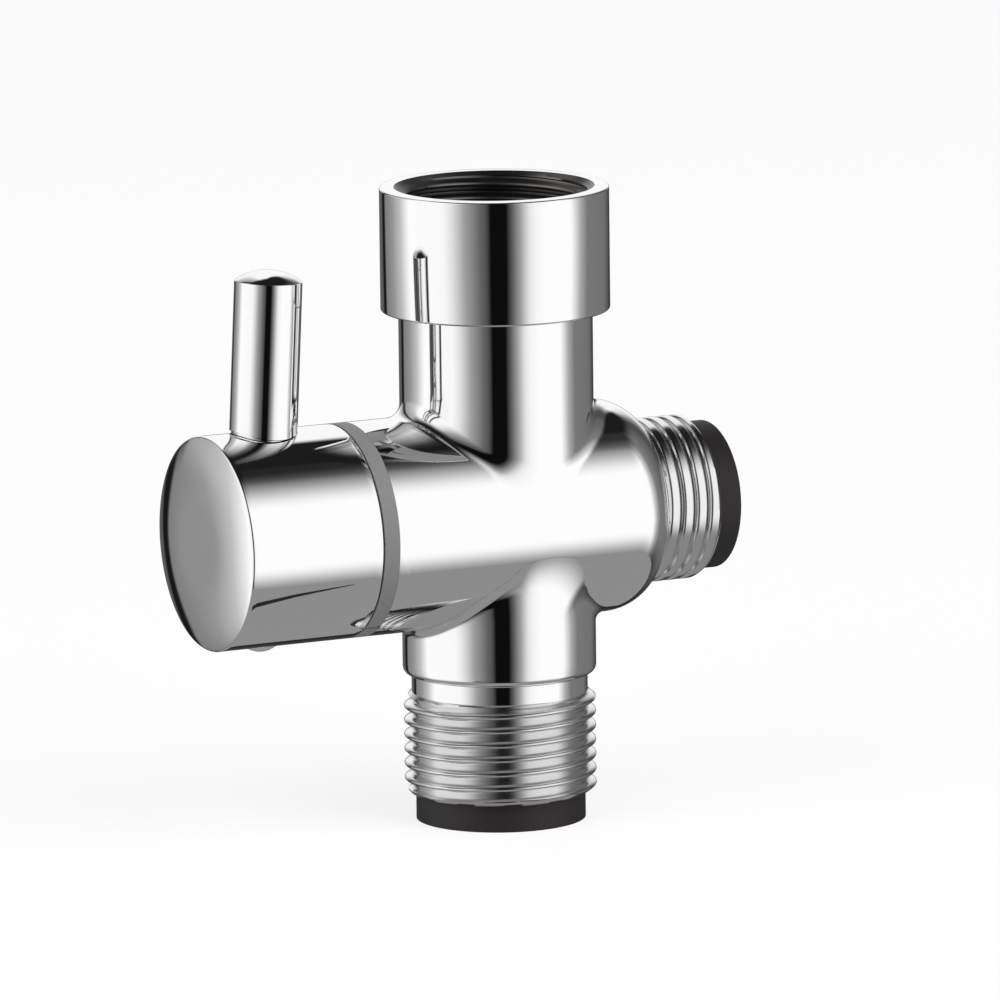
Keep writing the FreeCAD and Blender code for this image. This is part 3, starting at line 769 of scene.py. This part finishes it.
# Lever: a round pin with a crowned top, inclined a little towards the ring, on a thinner
# tail that screws into the hub.  Its lowest visible rows follow the round side of the hub.
lever_low, lever_high = (np.array(corner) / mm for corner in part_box("lever_pin"))
lever_r = (lever_high[1] - lever_low[1]) / 2
lever_reach = 28.05
lever_dome = 1.23
lever_edge_r = 0.12
lever_foot_depth = 0.94
lever_foot = barrel_r - lever_foot_depth
lever_tail_r = 2.0
lever_tail_low = 6.8
lever_dome_rows = 16
lever_rim_rows = 6
lever_rows = 19
lever_columns = 96
lever_crease = 35
dome_r = (lever_r ** 2 + lever_dome ** 2) / (2 * lever_dome)
dome_reach = math.asin((lever_r - lever_edge_r) / (dome_r - lever_edge_r))
dome_way = np.linspace(dome_reach, 0, lever_dome_rows)
rim_way = np.linspace(math.pi / 2, dome_reach, lever_rim_rows)
dome_centre = lever_reach + lever_dome - dome_r
rim_centre = dome_centre + (dome_r - lever_edge_r) * math.cos(dome_reach)
pin_heights = np.linspace(barrel_r, rim_centre, lever_rows + 1)[:-1]
lever_along = np.concatenate([
    [lever_tail_low, lever_tail_low, lever_foot], pin_heights,
    rim_centre + lever_edge_r * np.cos(rim_way), dome_centre + dome_r * np.cos(dome_way[1:])])
lever_out = np.concatenate([
    [0.0, lever_tail_r, lever_tail_r], np.full(lever_rows, lever_r),
    lever_r - lever_edge_r + lever_edge_r * np.sin(rim_way), dome_r * np.sin(dome_way[1:])])
lever_turns = full_turn(lever_columns)
upright = around_z(lever_out, lever_along, lever_turns)
meeting = np.sqrt(barrel_r ** 2 - (lever_r * np.sin(lever_turns)) ** 2)
# The foot's rows: number, lift off the side of the hub, and how much they are drawn in
foot_rows = ((3, -0.3, 0.2), (4, 0.12, 0.2), (5, 0.22, 0.0), (6, 0.6, 0.0))
for row, lift, pinch in foot_rows:
    upright[row, :, 0] = (lever_r - pinch) * np.cos(lever_turns)
    upright[row, :, 1] = (lever_r - pinch) * np.sin(lever_turns)
    upright[row, :, 2] = meeting + lift
lean_sin = math.sin(lever_incline)
lean_cos = math.cos(lever_incline)
lever_points = np.stack([
    lever_station + upright[..., 0] * lean_cos + upright[..., 2] * lean_sin,
    upright[..., 1],
    axis_height - upright[..., 0] * lean_sin + upright[..., 2] * lean_cos], axis=-1)
lever_skin = skin("lever_skin", [lever_points], [0], crease=lever_crease)
lever_skin.data.materials.append(chrome)
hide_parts("lever_pin")
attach(lever_skin, "handle")


# Ring, plug, washers and what is inside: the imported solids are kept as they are, and each gets
# a finish of its own with a fine grain.
grain_scale = 1 / (0.3 * mm)
grain_height = 0.03 * mm


def plain_finish(name, tint, roughness, grain, metallic=0.0):
    """one colour with a fine grain on its surface"""
    paint, place, shader, tree = new_finish(name)
    shader.inputs["Metallic"].default_value = metallic
    shader.inputs["Roughness"].default_value = roughness
    cloud = noise_cloud(tree, place, grain_scale, 4)
    shades = tree.nodes.new("ShaderNodeMixRGB")
    shades.inputs["Color1"].default_value = (*(v * 0.9 for v in tint), 1)
    shades.inputs["Color2"].default_value = (*(min(v * 1.1, 1) for v in tint), 1)
    tree.links.new(cloud, shades.inputs["Fac"])
    tree.links.new(shades.outputs["Color"], shader.inputs["Base Color"])
    roughen(tree, shader, cloud, grain, grain_height)
    return paint


node_finishes = (
    (plain_finish("grey_plastic", (0.17, 0.17, 0.172), 0.5, 0.1), ("trim_ring",)),
    (plain_finish("black_rubber_skin", (0.0135, 0.0105, 0.0128), 0.62, 0.35),
     ("inlet_washer", "lower_washer", "side_washer")),
    (plain_finish("black_seal", (0.012, 0.012, 0.012), 0.45, 0.1),
     ("bonnet_oring", "spindle_oring_inner", "spindle_oring_outer",
      "core_oring_near", "core_oring_far", "end_seal")),
    (plain_finish("turned_brass", (0.72, 0.55, 0.27), 0.28, 0.2, metallic=1.0),
     ("bonnet", "spindle")),
    (plain_finish("spring_steel_wire", (0.5, 0.5, 0.5), 0.3, 0.1, metallic=1.0),
     ("circlip", "grub_screw")),
    (plain_finish("white_acetal_plastic", (0.8, 0.8, 0.78), 0.4, 0.1),
     ("port_sleeve", "diverter_core", "slip_washer", "spline_insert")),
    (plain_finish("plug_plastic", (0.32, 0.32, 0.325), 0.3, 0.1), ("grub_screw_cover",)),
)
for finish, names in node_finishes:
    for name in names:
        node_data = frame["nodes"][name].data
        node_data.materials.clear()
        node_data.materials.append(finish)
